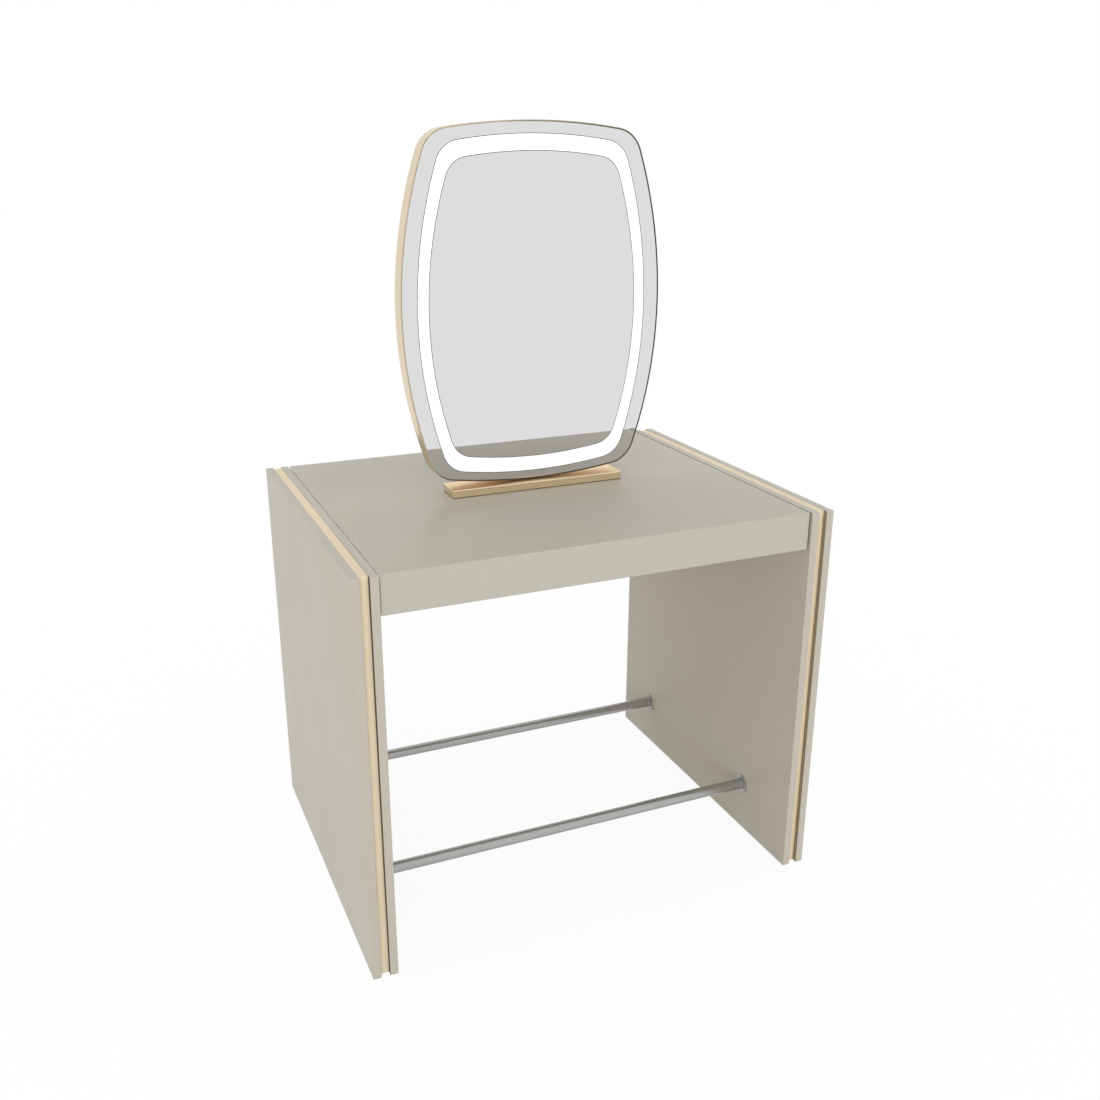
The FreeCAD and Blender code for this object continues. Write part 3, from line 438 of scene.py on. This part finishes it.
def panel_facing():
    material, tree, shader = new_finish("panel_facing")
    place = split(tree, spot_on_object(tree))
    aside = math_node(tree, "ABSOLUTE", place["X"])
    from_middle = math_node(tree, "ABSOLUTE", place["Y"])
    faced = facing_colour(tree, GREIGE, PRINT_UPRIGHT)
    joint = edge_band_joint(tree, place, from_middle)
    banded = blend_colours(tree, joint, faced, tone(GREIGE, JOINT_SHADE))
    # The gap walls get painted light at the left and painted shade at the right.
    painted_gap_tone = by_side(tree, GAP_PAINTED_LIGHT, tone(GREIGE, GAP_WALL_PAINTED_SHADE))
    walled = blend_colours(tree, gap_wall(tree, place, aside, from_middle), banded, painted_gap_tone)
    raw = raw_and_shadow_places(tree, aside)
    raw_and_painted_shade = by_side(tree, LEFT_RAW_BOARD_AND_PAINTED_SHADE, RIGHT_RAW_BOARD_AND_PAINTED_SHADE)
    feed(tree, shader["Base Color"], blend_colours(tree, raw, walled, raw_and_painted_shade))
    dull = math_node(tree, "MULTIPLY", raw, RAW_ROUGHNESS)
    polish = math_node(tree, "MAXIMUM", hand_polish(tree, PANEL_ROUGHNESS), dull)
    satin_surface(tree, shader, polish, PANEL_GLOSS)
    return material


dress(panel_facing(), *[side + board for side in sides for board in ("_outer_board", "_inner_board")])

# %% [markdown]
# ## Pale gold core
# Between the two boards of each panel a gold core shows as a stripe, set back at the ends. It is board
# wrapped in a gold foil, so it is a soft satin colour and not a mirror. The foil is brushed along its
# length, which noise drawn out along two axes and packed tight on the third gives. A mask of the faces that
# point up gives the upper face a darker gold, which is painted shade.

# %% Gold foil
FOIL_GOLD = (0.958, 0.814, 0.592)
# Painted shade: the upper face of the foil is a darker gold.
FOIL_TOP_PAINTED_SHADE = (0.797, 0.650, 0.440, 1)
FOIL_STREAK = 1.03
FOIL_BRUSHING = (1400.0, 9.0, 9.0)
FOIL_POLISH = (0.36, 0.46)
FOIL_METAL = 0.15


def gold_foil():
    material, tree, shader = new_finish("gold_foil")
    brushed = cloud(tree, scale=1.0, stretch=FOIL_BRUSHING)
    base = varied(tree, cloud(tree, scale=7.0), FOIL_GOLD, darkest=0.97, lightest=1.02)
    streak = spread(tree, brushed, 0.0, 1.0)
    streaked = blend_colours(tree, streak, base, tone(FOIL_GOLD, FOIL_STREAK))
    feed(tree, shader["Base Color"], blend_colours(tree, upper_face(tree), streaked, FOIL_TOP_PAINTED_SHADE))
    feed(tree, shader["Roughness"], spread(tree, brushed, *FOIL_POLISH))
    feed(tree, shader["Normal"], relief(tree, brushed, strength=0.04, distance=0.0002))
    shader["Metallic"].default_value = FOIL_METAL
    return material


dress(gold_foil(), "left_core_board", "right_core_board")

# %% [markdown]
# ## Gold metal
# The mirror's frame is a metal band, anodised or plated in pale gold with a satin polish. A full metal
# takes its whole look from what it reflects, so the colour is the metal's own, and the polish is a low
# roughness broken up by fine brushing along the band. Only the outside is polished. The cut rim and the
# inside carry painted light, pale at the left and on top, and painted shade, bronze to near black at the
# right and below. Which side of the band a point is on follows from its normal, because the outside points
# away from the mirror's middle.

# %% Places on the mirror
# Where the painted shade at the right and below begins, as parts of the mirror's half size.
PAINTED_SHADE_FROM = -0.5
PAINTED_SHADE_BELOW = -0.85
FACE_STARTS = 0.6
FACE_FULL = 0.7
IN_MIRROR_PLANE = (1, 0, 1)
mirror_low, mirror_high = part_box("mirror_frame")
mirror_middle = (mirror_low + mirror_high) / 2
mirror_half = (mirror_high - mirror_low) / 2


def arm_from_middle(tree):
    return vector_node(tree, "SUBTRACT", spot_on_object(tree), mirror_middle)[0]


# Mask of painted shade: full at the right and at the bottom, none at the left and on top.
def painted_shade_right_and_below(tree):
    arm = split(tree, arm_from_middle(tree))
    across = spread(tree, arm["X"], 0.0, 1.0, PAINTED_SHADE_FROM * mirror_half.x, mirror_half.x)
    below = spread(tree, arm["Z"], 1.0, 0.0, -mirror_half.z, PAINTED_SHADE_BELOW * mirror_half.z)
    return math_node(tree, "MAXIMUM", across, below)


def looks_outwards(tree):
    flat_arm = vector_node(tree, "MULTIPLY", arm_from_middle(tree), IN_MIRROR_PLANE)[0]
    normal = add(tree, "ShaderNodeNewGeometry").outputs["Normal"]
    along = vector_node(tree, "DOT_PRODUCT", flat_arm, normal)["Value"]
    return math_node(tree, "GREATER_THAN", along, 0.0)


def faces_the_room(tree):
    straight = math_node(tree, "ABSOLUTE", facing_way(tree)["Y"])
    return spread(tree, straight, 0.0, 1.0, FACE_STARTS, FACE_FULL)


print("mirror's middle at", tuple(round(value, 4) for value in mirror_middle))

# %% Satin gold
FRAME_GOLD = (0.715, 0.585, 0.410)
# Rim and inside: painted light at the left and on top, painted shade at the right and below.
RIM_PAINTED_LIGHT = (0.720, 0.600, 0.430, 1)
RIM_PAINTED_SHADE = (0.165, 0.135, 0.092, 1)
RIM_ROUGHNESS = 0.5
INSIDE_PAINTED_LIGHT = (0.850, 0.750, 0.560, 1)
INSIDE_PAINTED_SHADE = (0.030, 0.026, 0.020, 1)
FRAME_BRUSHING = (12.0, 700.0, 12.0)
FRAME_POLISH = (0.24, 0.27)


def frame_gold():
    material, tree, shader = new_finish("frame_gold")
    polished = varied(tree, cloud(tree, scale=9.0), FRAME_GOLD, darkest=0.98, lightest=1.02)
    frame_painted_shade = painted_shade_right_and_below(tree)
    inside = blend_colours(tree, frame_painted_shade, INSIDE_PAINTED_LIGHT, INSIDE_PAINTED_SHADE)
    band = blend_colours(tree, looks_outwards(tree), inside, polished)
    rim = faces_the_room(tree)
    painted_rim_colour = blend_colours(tree, frame_painted_shade, RIM_PAINTED_LIGHT, RIM_PAINTED_SHADE)
    feed(tree, shader["Base Color"], blend_colours(tree, rim, band, painted_rim_colour))
    brushed = cloud(tree, scale=1.0, detail=2.0, stretch=FRAME_BRUSHING)
    polish = spread(tree, brushed, *FRAME_POLISH)
    dull = math_node(tree, "MULTIPLY", rim, RIM_ROUGHNESS)
    feed(tree, shader["Roughness"], math_node(tree, "MAXIMUM", polish, dull))
    shader["Metallic"].default_value = 1.0
    return material


dress(frame_gold(), "mirror_frame")

# %% [markdown]
# The bar under the mirror and the short posts are solid metal with a brighter polish than the frame. In
# the slot between bar and frame the two golds reflect each other, which turns the light orange and then
# brown with no help from paint. The bar's upper face is painted a tone deeper than the sides, which is
# painted shade, and its polish is duller there.

# %% Polished gold
BAR_GOLD = (0.925, 0.755, 0.500)
# Painted shade: the bar's upper face is a deeper gold.
TOP_GOLD_PAINTED_SHADE = (0.880, 0.660, 0.390, 1)
HANDLED_ROUGHNESS = 0.33
BAR_POLISH = (0.21, 0.25)


def polished_gold():
    material, tree, shader = new_finish("polished_gold")
    polished = varied(tree, cloud(tree, scale=9.0), BAR_GOLD, darkest=0.98, lightest=1.02)
    painted_and_dulled_top = upper_face(tree)
    feed(tree, shader["Base Color"], blend_colours(tree, painted_and_dulled_top, polished, TOP_GOLD_PAINTED_SHADE))
    polish = spread(tree, cloud(tree, scale=14.0), *BAR_POLISH)
    dulled = math_node(tree, "MULTIPLY", painted_and_dulled_top, HANDLED_ROUGHNESS)
    feed(tree, shader["Roughness"], math_node(tree, "MAXIMUM", polish, dulled))
    shader["Metallic"].default_value = 1.0
    return material


dress(polished_gold(), "mirror_base_bar", "mirror_posts")

# %% [markdown]
# ## Chrome tube
# The foot rails and their wall sockets are plated steel. Fresh plating is almost a mirror, but shoes
# leave fine scuffs along the tube, which show as an uneven, softer polish, and the turned sockets are
# duller still. The lower half of the plating is painted darker, which is painted shade in its reflection.

# %% Chrome
CHROME = (0.430, 0.430, 0.425)
SOCKET_STEEL = (0.420, 0.418, 0.408)
# Painted shade on the lower half of the tubes and sockets.
UNDERSIDE_PAINTED_SHADE = 0.50
PAINTED_SHADE_FULL_AT = -0.9
PAINTED_SHADE_ENDS_AT = 0.1
RAIL_SCUFFS = (3.0, 40.0, 40.0)
SCUFF_POLISHES = 0.006
SCUFF_DULLS = 0.010
PLATED_METAL = 0.75
faces = ("front", "rear")


def plated_steel(name, colour, roughness):
    material, tree, shader = new_finish(name)
    plated = varied(tree, cloud(tree, scale=12.0), colour, darkest=0.97, lightest=1.03)
    underside = spread(tree, facing_way(tree)["Z"], 1.0, 0.0, PAINTED_SHADE_FULL_AT, PAINTED_SHADE_ENDS_AT)
    painted_underside = tone(colour, UNDERSIDE_PAINTED_SHADE)
    feed(tree, shader["Base Color"], blend_colours(tree, underside, plated, painted_underside))
    scuffs = cloud(tree, scale=1.0, detail=4.0, stretch=RAIL_SCUFFS)
    polish = spread(tree, scuffs, roughness - SCUFF_POLISHES, roughness + SCUFF_DULLS)
    feed(tree, shader["Roughness"], polish)
    shader["Metallic"].default_value = PLATED_METAL
    return material


rail_finish = plated_steel("scuffed_chrome", CHROME, roughness=0.24)
socket_finish = plated_steel("dull_chrome", SOCKET_STEEL, roughness=0.38)
dress(rail_finish, "front_foot_rail", "rear_foot_rail")
dress(socket_finish, *[side + "_" + face + "_rail_socket" for side in sides for face in faces])

# %% [markdown]
# ## Mirror glass and the band of light
# Each face is silvered glass in two panes with an opal band between them that is lit from behind. The
# silver is on the flat faces, and the ground edges of the glass are dull and dark, so a mask reads which
# way the surface points. Only the edge next to the frame is painted bright, painted light that stands for
# the frame's light taken up in it. The same mask keeps the light on the face of the band and off its edges.

# %% Silvered glass
SILVER = (0.723, 0.723, 0.723)
EDGE_DARK = (0.035, 0.040, 0.038, 1)
# Painted light on the outer panes' edge next to the frame.
EDGE_PAINTED_LIGHT = (0.880, 0.860, 0.800, 1)
GLASS_HAZE = (0.005, 0.02)
GROUND_ROUGHNESS = 0.3
WIPED_DOWN = (1.0, 1.0, 2.5)


def silvered_glass(name, outer_edge):
    material, tree, shader = new_finish(name)
    face = faces_the_room(tree)
    edge = blend_colours(tree, looks_outwards(tree), EDGE_DARK, outer_edge)
    wiped = cloud(tree, scale=3.5, detail=4.0, stretch=WIPED_DOWN)
    silver = varied(tree, wiped, SILVER, darkest=0.994, lightest=1.006)
    feed(tree, shader["Base Color"], blend_colours(tree, face, edge, silver))
    feed(tree, shader["Metallic"], face)
    haze = spread(tree, wiped, *GLASS_HAZE)
    ground = spread(tree, face, GROUND_ROUGHNESS, 0.0, start=0.0, end=1.0)
    feed(tree, shader["Roughness"], math_node(tree, "ADD", haze, ground))
    return material


outer_panes = [face + "_outer_mirror" for face in faces]
inner_panes = [face + "_inner_mirror" for face in faces]
dress(silvered_glass("outer_silvered_glass", EDGE_PAINTED_LIGHT), *outer_panes)
dress(silvered_glass("inner_silvered_glass", EDGE_DARK), *inner_panes)

# %% [markdown]
# A mirror also throws light on what is near it, and a path tracer finds that light only by chance, which
# leaves bright specks on the top. In the picture the top is, if anything, darker beside the mirror. So
# the panes stay visible to the camera and in reflections, and only the scattered light of matt surfaces
# passes them by.

# %% Panes without thrown light
panes = outer_panes + inner_panes
for pane in panes:
    nodes[pane].visible_diffuse = False
print(len(panes), "panes throw no light on the top")

# %% [markdown]
# The band is opal plastic. It glows only enough to come out white: a stronger glow would spill over the
# fine dark joints on both sides of it when the picture's pixels are averaged.

# %% Opal light band
OPAL = (0.93, 0.93, 0.93, 1)
OPAL_POLISH = (0.4, 0.55)
BAND_LIGHT = 0.22


def opal_light():
    material, tree, shader = new_finish("opal_light")
    face = faces_the_room(tree)
    frost = cloud(tree, scale=700.0, detail=2.0)
    feed(tree, shader["Base Color"], blend_colours(tree, face, EDGE_DARK, OPAL))
    feed(tree, shader["Roughness"], spread(tree, frost, *OPAL_POLISH))
    feed(tree, shader["Emission Strength"], math_node(tree, "MULTIPLY", face, BAND_LIGHT))
    shader["Emission Color"].default_value = WHITE
    return material


dress(opal_light(), "front_light_band", "rear_light_band")

# %% [markdown]
# ## Rubber, black plastic and the small parts
# The rest hardly shows: a rubber gasket under the bar, the glides, the spacers in the shadow gaps, the
# gland and the switch under the top, and what is hidden inside. Moulded plastic has a spark-eroded
# texture, so its relief is a fine even noise, and its colour shifts a little as real mouldings do.

# %% Moulded plastics and rubber
PLASTIC_BLACK = (0.020, 0.020, 0.021)
RUBBER_BLACK = (0.016, 0.016, 0.016)
BUTTON_GREY = (0.52, 0.52, 0.53)
CASE_WHITE = (0.70, 0.70, 0.68)
POLISH_VARIES = 0.06


def moulded(name, colour, roughness, fineness, depth):
    material, tree, shader = new_finish(name)
    drift = cloud(tree, scale=25.0)
    feed(tree, shader["Base Color"], varied(tree, drift, colour, darkest=0.88, lightest=1.12))
    grain = cloud(tree, scale=fineness, detail=2.0)
    polish = spread(tree, grain, roughness - POLISH_VARIES, roughness + POLISH_VARIES)
    feed(tree, shader["Roughness"], polish)
    feed(tree, shader["Normal"], relief(tree, grain, strength=0.3, distance=depth))
    return material


black_plastic = moulded("black_moulding", PLASTIC_BLACK, roughness=0.45, fineness=1500.0, depth=0.0002)
black_rubber = moulded("black_rubber", RUBBER_BLACK, roughness=0.75, fineness=800.0, depth=0.0003)
grey_button = moulded("grey_button", BUTTON_GREY, roughness=0.35, fineness=1800.0, depth=0.0001)
white_case = moulded("white_case", CASE_WHITE, roughness=0.45, fineness=1400.0, depth=0.0002)
dress(black_plastic, "floor_glides", "gap_spacers", "mains_gland", "gland_nut", "switch_body", "switch_nut")
dress(black_plastic, "mains_terminal", "led_junction")
dress(black_rubber, "base_gasket", "led_lead", "mains_leads")
dress(grey_button, "light_button")
dress(white_case, "led_driver", "front_led_strip", "rear_led_strip")

# %% [markdown]
# The panes are bonded to black foam carriers. Round their margin the foam is painted pale, painted light
# that the hairline between the glass and the frame shows, so at the left and on top that joint is much
# lighter than the black joints along the light band. To the right and below the margin is painted dark
# again, painted shade as on the rim. The margin follows the barrel outline: a bow of radius r leaves its
# chord by x squared over 2 r.

# %% Margin of the carriers
MARGIN_WIDTH = 0.014
SIDE_BOW_RADIUS = 0.965
END_BOW_RADIUS = 1.285


def inside_bow(tree, half_width, along, across, radius):
    bow = math_node(tree, "MULTIPLY", math_node(tree, "POWER", along, 2.0), 0.5 / radius)
    return math_node(tree, "SUBTRACT", math_node(tree, "SUBTRACT", half_width, bow), across)


def beside_the_frame(tree):
    arm = split(tree, arm_from_middle(tree))
    aside = math_node(tree, "ABSOLUTE", arm["X"])
    aloft = math_node(tree, "ABSOLUTE", arm["Z"])
    from_side = inside_bow(tree, mirror_half.x, aloft, aside, SIDE_BOW_RADIUS)
    from_end = inside_bow(tree, mirror_half.z, aside, aloft, END_BOW_RADIUS)
    return math_node(tree, "LESS_THAN", math_node(tree, "MINIMUM", from_side, from_end), MARGIN_WIDTH)


print("margin of", MARGIN_WIDTH, "m round the carriers")

# %% Carriers with a painted light margin
FOAM = (0.012, 0.012, 0.012)
FOAM_ROUGHNESS = 0.90
MARGIN_PAINTED_LIGHT = (0.800, 0.780, 0.720, 1)


def carrier_foam():
    material, tree, shader = new_finish("carrier_foam")
    cells = cloud(tree, scale=500.0, detail=2.0)
    foam = varied(tree, cells, FOAM, darkest=0.7, lightest=1.3)
    # Painted light in the margin at the left and on top, painted shade at the right and below.
    margin = blend_colours(tree, painted_shade_right_and_below(tree), MARGIN_PAINTED_LIGHT, tone(FOAM, 1.0))
    feed(tree, shader["Base Color"], blend_colours(tree, beside_the_frame(tree), foam, margin))
    feed(tree, shader["Normal"], relief(tree, cells, strength=0.3, distance=0.0004))
    shader["Roughness"].default_value = FOAM_ROUGHNESS
    return material


dress(carrier_foam(), "front_carrier", "rear_carrier")

# %% [markdown]
# ## Inside the top
# Raw chipboard, beech dowels, zinc-plated steel and brass stay hidden unless someone takes the part to
# pieces, but then they should look right too. Chips are the cells of a Voronoi texture, and wood is noise
# drawn out along the grain.

# %% Raw board and dowels
CHIPBOARD = (0.40, 0.29, 0.17)
CHIP_SHAPE = (1, 1, 3)
CHIP_SCALE = 160.0
CHIP_ROUGHNESS = 0.85
BEECH = (0.56, 0.38, 0.21)
BEECH_GRAIN = (60.0, 900.0, 900.0)
BEECH_ROUGHNESS = 0.7


def chipboard():
    material, tree, shader = new_finish("raw_chipboard")
    inputs = {"Vector": stretched(tree, CHIP_SHAPE), "Scale": CHIP_SCALE}
    cells = add(tree, "ShaderNodeTexVoronoi", inputs).outputs["Color"]
    chip = split(tree, cells)["X"]
    feed(tree, shader["Base Color"], varied(tree, chip, CHIPBOARD, darkest=0.75, lightest=1.3))
    feed(tree, shader["Normal"], relief(tree, chip, strength=0.2, distance=0.0004))
    shader["Roughness"].default_value = CHIP_ROUGHNESS
    return material


def beech():
    material, tree, shader = new_finish("beech")
    grain = cloud(tree, scale=1.0, detail=4.0, stretch=BEECH_GRAIN)
    feed(tree, shader["Base Color"], varied(tree, grain, BEECH, darkest=0.8, lightest=1.2))
    feed(tree, shader["Normal"], relief(tree, grain, strength=0.2, distance=0.0002))
    shader["Roughness"].default_value = BEECH_ROUGHNESS
    return material


dress(chipboard(), "front_rib", "rear_rib", "mirror_block")
dress(beech(), "panel_dowels", "carcass_dowels")

# %% Plated steel and brass
ZINC = (0.55, 0.55, 0.57)
BRASS = (0.72, 0.55, 0.26)
SPANGLE_POLISHES = 0.08
SPANGLE_DULLS = 0.1


def bare_metal(name, colour, roughness):
    material, tree, shader = new_finish(name)
    spangle = cloud(tree, scale=180.0, detail=4.0)
    feed(tree, shader["Base Color"], varied(tree, spangle, colour, darkest=0.85, lightest=1.12))
    polish = spread(tree, spangle, roughness - SPANGLE_POLISHES, roughness + SPANGLE_DULLS)
    feed(tree, shader["Roughness"], polish)
    shader["Metallic"].default_value = 1.0
    return material


zinc_plate = bare_metal("zinc_plate", ZINC, roughness=0.38)
turned_brass = bare_metal("turned_brass", BRASS, roughness=0.30)
dress(zinc_plate, "panel_bolts", "underside_screws", "block_screws", "rail_socket_screws", "driver_screws")
dress(zinc_plate, "stud_nuts", "frame_clamp_plate", "left_mirror_stud", "right_mirror_stud")
dress(turned_brass, "panel_inserts")
